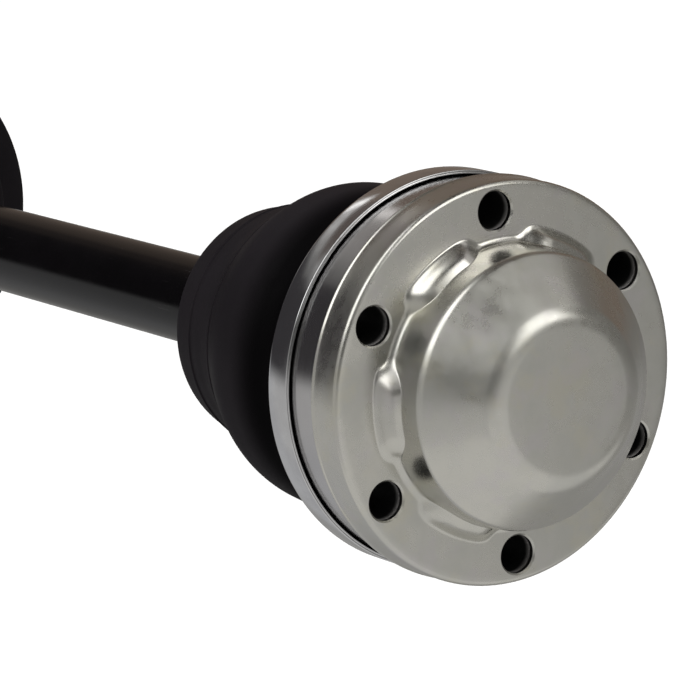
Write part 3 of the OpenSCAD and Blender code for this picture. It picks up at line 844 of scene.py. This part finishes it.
def satin_zinc():
    """Zinc of the pressed cap: soft patches with a hint of yellow and lilac, fine marks and a few specks."""
    material, tree, shader = finish("satin_zinc", Metallic=1.0)
    cloud = use(tree, "clouding", Patch_per_mm=0.035)
    fine = use(tree, "clouding", Patch_per_mm=0.22, Low=0.3, High=0.7)
    lines = use(tree, "turning_lines", Lines_per_mm=2.2, Waver=0.6)
    scratch = use(tree, "scratches")
    speck = use(tree, "specks", Spacing_per_mm=0.045, Size=0.012)
    hole = use(tree, "bolt_holes")
    colour = blend_colour(tree, cloud, (0.60, 0.59, 0.545), (0.53, 0.53, 0.495))
    colour = blend_colour(tree, times(tree, fine, 0.35), colour, (0.57, 0.565, 0.54))
    yellow = use(tree, "clouding", Patch_per_mm=0.06, Low=0.52, High=0.66)
    lilac = use(tree, "clouding", Patch_per_mm=0.085, Low=0.5, High=0.66)
    colour = blend_colour(tree, times(tree, yellow, 0.5), colour, (0.59, 0.57, 0.48))
    colour = blend_colour(tree, times(tree, lilac, 0.5), colour, (0.575, 0.55, 0.555))
    colour = blend_colour(tree, times(tree, scratch, 0.06), colour, (0.7, 0.69, 0.66))
    colour = blend_colour(tree, speck, colour, (0.05, 0.045, 0.04))
    colour = blend_colour(tree, hole, colour, (0.3, 0.295, 0.285))
    rough = plus(tree, ramp(tree, cloud, 0, 1, 0.19, 0.28), times(tree, fine, 0.06))
    rough = plus(tree, rough, times(tree, lines, 0.06))
    height = plus(tree, times(tree, fine, 0.5), times(tree, lines, 0.3))
    feed(tree, shader, colour, rough, height, 0.025, 0.08)
    return material


def ground_steel():
    """Ground steel of the joint body; the bolt holes are dull, with painted shade that makes their walls
    nearly black deep inside and grey at the mouth.
    """
    material, tree, shader = finish("ground_body", Metallic=1.0)
    lines = use(tree, "turning_lines", Lines_per_mm=4.0, Waver=0.15)
    cloud = use(tree, "clouding", Patch_per_mm=0.06)
    hole = use(tree, "bolt_holes", Radius=HOLE_R + BODY_HOLE_MARGIN)
    colour = blend_colour(tree, lines, (0.50, 0.495, 0.50), (0.58, 0.572, 0.57))
    colour = blend_colour(tree, times(tree, cloud, 0.3), colour, (0.46, 0.45, 0.455))
    # Painted shade: the hole walls go from nearly black deep inside to light grey at the mouth
    mouth = ramp(tree, polar(tree, millimetres(tree))[0], -CAP_SHEET - HOLE_LIT, -CAP_SHEET)
    wall = blend_colour(tree, mouth, (0.004, 0.004, 0.004), (0.26, 0.252, 0.248))
    colour = blend_colour(tree, hole, colour, wall)
    tree.links.new(minus(tree, 1.0, hole), shader.inputs["Metallic"])
    rough = plus(tree, ramp(tree, lines, 0.3, 0.7, 0.15, 0.19), times(tree, hole, 0.4))
    feed(tree, shader, colour, rough, lines, 0.006, 0.03)
    return material


def bright_plate():
    """Bright plating of the boot ring, with some scratches."""
    material, tree, shader = finish("plated_ring", Metallic=1.0)
    lines = use(tree, "turning_lines", Lines_per_mm=2.5, Waver=0.4)
    cloud = use(tree, "clouding", Patch_per_mm=0.08)
    scratch = use(tree, "scratches", Density=0.09)
    colour = blend_colour(tree, cloud, (0.66, 0.665, 0.675), (0.58, 0.58, 0.59))
    colour = blend_colour(tree, times(tree, scratch, 0.4), colour, (0.75, 0.75, 0.76))
    rough = plus(tree, ramp(tree, cloud, 0, 1, 0.1, 0.17), times(tree, scratch, 0.1))
    feed(tree, shader, colour, rough, lines, 0.1, 0.04)
    return material


def bar_paint():
    """Glossy black paint of the bar, with a slight peel."""
    material, tree, shader = finish("black_gloss", Metallic=0.0, IOR=1.3)
    peel = use(tree, "clouding", Patch_per_mm=0.7, Low=0.2, High=0.8)
    cloud = use(tree, "clouding", Patch_per_mm=0.03)
    scratch = use(tree, "scratches", Density=0.07)
    colour = blend_colour(tree, cloud, (0.001, 0.0008, 0.0011), (0.0019, 0.0015, 0.002))
    colour = blend_colour(tree, times(tree, scratch, 0.25), colour, (0.05, 0.048, 0.05))
    rough = plus(tree, ramp(tree, cloud, 0, 1, 0.12, 0.18), times(tree, scratch, 0.15))
    feed(tree, shader, colour, rough, peel, 0.08, 0.03)
    return material


def boot_rubber():
    """Dull black rubber, with painted shade that turns it almost black next to the boot ring, and darker
    along the far boot.
    """
    material, tree, shader = finish("rubber_skin", Metallic=0.0, IOR=1.45, Specular_IOR_Level=0.04)
    cloud = use(tree, "clouding", Patch_per_mm=0.04)
    grain = use(tree, "clouding", Patch_per_mm=2.4, Low=0.25, High=0.75)
    lines = use(tree, "turning_lines", Lines_per_mm=0.7, Waver=0.8)
    along, _, _ = polar(tree, millimetres(tree))
    # Painted shade: the near boot darkens to almost black next to the boot ring, where the ring shades it;
    # the far boot is made darker by a share too
    ring_shade_and_far_dark = math_node(tree, "MAXIMUM", ramp(tree, along, RING_SHADE_FROM_X, RING_SHADE_FULL_X),
                     ramp(tree, along, FAR_DARK_FROM_X, FAR_DARK_FULL_X, 0, FAR_DARK_SHARE))
    colour = blend_colour(tree, cloud, (0.0116, 0.01, 0.0119), (0.0149, 0.0129, 0.0153))
    colour = blend_colour(tree, times(tree, grain, 0.25), colour, (0.0168, 0.0146, 0.0173))
    colour = blend_colour(tree, ring_shade_and_far_dark, colour, (0.0012, 0.001, 0.0013))
    rough = plus(tree, ramp(tree, cloud, 0, 1, 0.46, 0.56), times(tree, grain, 0.06))
    height = plus(tree, times(tree, grain, 0.6), times(tree, lines, 0.4))
    feed(tree, shader, colour, rough, height, 0.15, 0.06)
    return material


def plain_steel(name, light, dark, smooth_level, rough_level, lines_per_mm):
    """Bare or treated steel with turning lines and soft patches."""
    material, tree, shader = finish(name, Metallic=1.0)
    lines = use(tree, "turning_lines", Lines_per_mm=lines_per_mm, Waver=0.2)
    cloud = use(tree, "clouding", Patch_per_mm=0.07)
    colour = blend_colour(tree, cloud, light, dark)
    colour = blend_colour(tree, times(tree, lines, 0.3), colour, dark)
    rough = ramp(tree, lines, 0.2, 0.8, smooth_level, rough_level)
    feed(tree, shader, colour, rough, lines, 0.15, 0.04)
    return material


FINISHES = {
    "cap_zinc": satin_zinc(),
    "ground_steel": ground_steel(),
    "bright_plate": bright_plate(),
    "bar_paint": bar_paint(),
    "boot_rubber": boot_rubber(),
    "clamp_steel": plain_steel("band_steel", (0.6, 0.6, 0.6), (0.5, 0.5, 0.5), 0.22, 0.36, 1.2),
    "bearing_steel": plain_steel("hardened_race", (0.48, 0.475, 0.47), (0.4, 0.395, 0.39), 0.2, 0.32, 3.0),
    "ball_steel": plain_steel("polished_ball", (0.72, 0.72, 0.73), (0.66, 0.66, 0.67), 0.05, 0.09, 0.8),
    "spring_steel": plain_steel("blued_spring", (0.2, 0.2, 0.23), (0.12, 0.12, 0.15), 0.3, 0.42, 2.0),
    "forged_steel": plain_steel("turned_forging", (0.46, 0.455, 0.45), (0.36, 0.355, 0.35), 0.24, 0.38, 1.6),
}


def dress():
    """Every shown piece takes the finish of its slot."""
    slot_of = {part["node"]: part["material_slot"] for part in frame["record"]["subparts"]}
    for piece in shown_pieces():
        name = piece.get("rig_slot") or slot_of[piece["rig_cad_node"]]
        piece.data.materials.clear()
        piece.data.materials.append(FINISHES[name])


# Studio

def seen_ray(tree):
    """One for rays that show the background: from the camera, a mirror or clear glass."""
    path = tree.nodes.new("ShaderNodeLightPath").outputs
    shown = math_node(tree, "MAXIMUM", path["Is Camera Ray"], path["Is Glossy Ray"])
    return math_node(tree, "MAXIMUM", shown, path["Is Transmission Ray"])


def studio_world():
    world = bpy.data.worlds.new("studio_world")
    bpy.context.scene.world = world
    world.use_nodes = True
    tree = world.node_tree
    level = ramp(tree, seen_ray(tree), 0, 1, ROOM_LIGHT, 1.0)
    tree.links.new(level, tree.nodes["Background"].inputs["Strength"])
    tree.nodes["Background"].inputs["Color"].default_value = (1, 1, 1, 1)


def studio_floor():
    deselect_all()
    bpy.ops.mesh.primitive_plane_add(size=2 * FLOOR_HALF, location=(0, 0, FLOOR_Z))
    floor = bpy.context.object
    floor.name = "studio_floor"
    material = bpy.data.materials.new("floor_white")
    material.use_nodes = True
    tree = material.node_tree
    shader = tree.nodes["Principled BSDF"]
    shader.inputs["Base Color"].default_value = (FLOOR_WHITE, FLOOR_WHITE, FLOOR_WHITE, 1)
    shader.inputs["Roughness"].default_value = 0.9
    shader.inputs["Specular IOR Level"].default_value = 0.0
    shader.inputs["Emission Color"].default_value = (1, 1, 1, 1)
    glow = times(tree, seen_ray(tree), FLOOR_GLOW)
    tree.links.new(glow, shader.inputs["Emission Strength"])
    floor.data.materials.append(material)


def studio_tent():
    """Cloth tent that the metal mirrors: pale grey with darker and warmer patches and two bright windows."""
    deselect_all()
    bpy.ops.mesh.primitive_cube_add(size=2)
    tent = bpy.context.object
    tent.name = "studio_tent"
    low = FLOOR_Z + TENT_OFF_FLOOR
    tent.data.transform(Matrix.Translation((0, 0, (TENT_TOP + low) / 2))
                        @ Matrix.Diagonal((TENT_HALF, TENT_HALF, (TENT_TOP - low) / 2, 1)))
    tent.visible_camera = tent.visible_diffuse = tent.visible_shadow = False
    material = bpy.data.materials.new("tent_cloth")
    material.use_nodes = True
    tree = material.node_tree
    tree.nodes.remove(tree.nodes["Principled BSDF"])
    coords = tree.nodes.new("ShaderNodeTexCoord").outputs["Object"]
    aim = place(tree, "VectorMath", {"operation": "NORMALIZE"}, i0=coords).outputs[0]
    ahead, aside, upward = place(tree, "SeparateXYZ", i0=aim).outputs
    rise = math_node(tree, "DEGREES", math_node(tree, "ARCSINE", upward))
    bearing = math_node(tree, "DEGREES", math_node(tree, "ARCTAN2", aside, ahead))
    colour = blend_colour(tree, ramp(tree, rise, *TENT_HORIZON), TENT_BELOW, TENT_ABOVE)
    for at_bearing, at_rise, half_width, half_height, edge, tint in TENT_PATCHES:
        turn = math_node(tree, "WRAP", minus(tree, bearing, at_bearing), 180, -180)
        off = math_node(tree, "ABSOLUTE", turn)
        up = math_node(tree, "ABSOLUTE", minus(tree, rise, at_rise))
        share = times(tree, ramp(tree, off, half_width, half_width + edge, 1, 0),
                      ramp(tree, up, half_height, half_height + edge, 1, 0))
        colour = blend_colour(tree, share, colour, tint)
    glow = place(tree, "Emission", Color=colour)
    tree.links.new(glow.outputs[0], tree.nodes["Material Output"].inputs["Surface"])
    tent.data.materials.append(material)


def strip_card():
    """Bright card over the bar, mirrored on the joint body; its glow falls off to one side."""
    deselect_all()
    bpy.ops.mesh.primitive_plane_add(size=1)
    card = bpy.context.object
    card.name = "strip_card"
    card.data.transform(Matrix.Translation(STRIP_PLACE) @ Matrix.Diagonal((*STRIP_SIZE, 1, 1)))
    card.visible_camera = card.visible_diffuse = card.visible_shadow = False
    material = bpy.data.materials.new("strip_glow")
    material.use_nodes = True
    tree = material.node_tree
    tree.nodes.remove(tree.nodes["Principled BSDF"])
    side = place(tree, "SeparateXYZ", i0=tree.nodes.new("ShaderNodeTexCoord").outputs["Object"]).outputs[1]
    off = math_node(tree, "ABSOLUTE", minus(tree, side, STRIP_CORE_Y))
    level = plus(tree, ramp(tree, side, *STRIP_FADE_Y, *STRIP_FADE),
                 ramp(tree, off, *STRIP_CORE_HALF, STRIP_CORE, 0))
    glow = place(tree, "Emission", Color=(1.0, 0.98, 0.95, 1), Strength=level)
    tree.links.new(glow.outputs[0], tree.nodes["Material Output"].inputs["Surface"])
    card.data.materials.append(material)


def lamp(name, bearing, rise, power, tint):
    """Broad soft lamp far away, by its bearing round the object and its rise in degrees."""
    bpy.ops.object.light_add(type="SUN")
    light = bpy.context.object
    light.name = name
    light.data.energy = power
    light.data.color = tint
    light.data.angle = math.radians(LAMP_SPREAD)
    light.rotation_euler = (0, math.radians(90 - rise), math.radians(bearing))
    light.visible_glossy = False


def studio_lamps():
    lamp("left_lamp", bearing=-86, rise=50, power=1.8, tint=(1.0, 0.99, 0.97))
    lamp("front_lamp", bearing=25, rise=46, power=1.2, tint=(1.0, 0.98, 0.95))


def photo_camera():
    bpy.ops.object.camera_add(location=CAMERA_PLACE)
    camera = bpy.context.object
    right = Vector(CAMERA_RIGHT).normalized()
    back = right.cross(Vector(CAMERA_UP)).normalized()
    up = back.cross(right)
    camera.rotation_euler = Matrix((right, up, back)).transposed().to_euler()
    camera.data.lens = CAMERA_LENS
    bpy.context.scene.camera = camera


bpy.context.scene.view_settings.view_transform = "Standard"
photo_camera()
pressed_cap()
boot_ring()
rubber_boots()
ear_clamps()
stub_forging()
hub_thread()
dress()
studio_world()
studio_floor()
studio_tent()
strip_card()
studio_lamps()
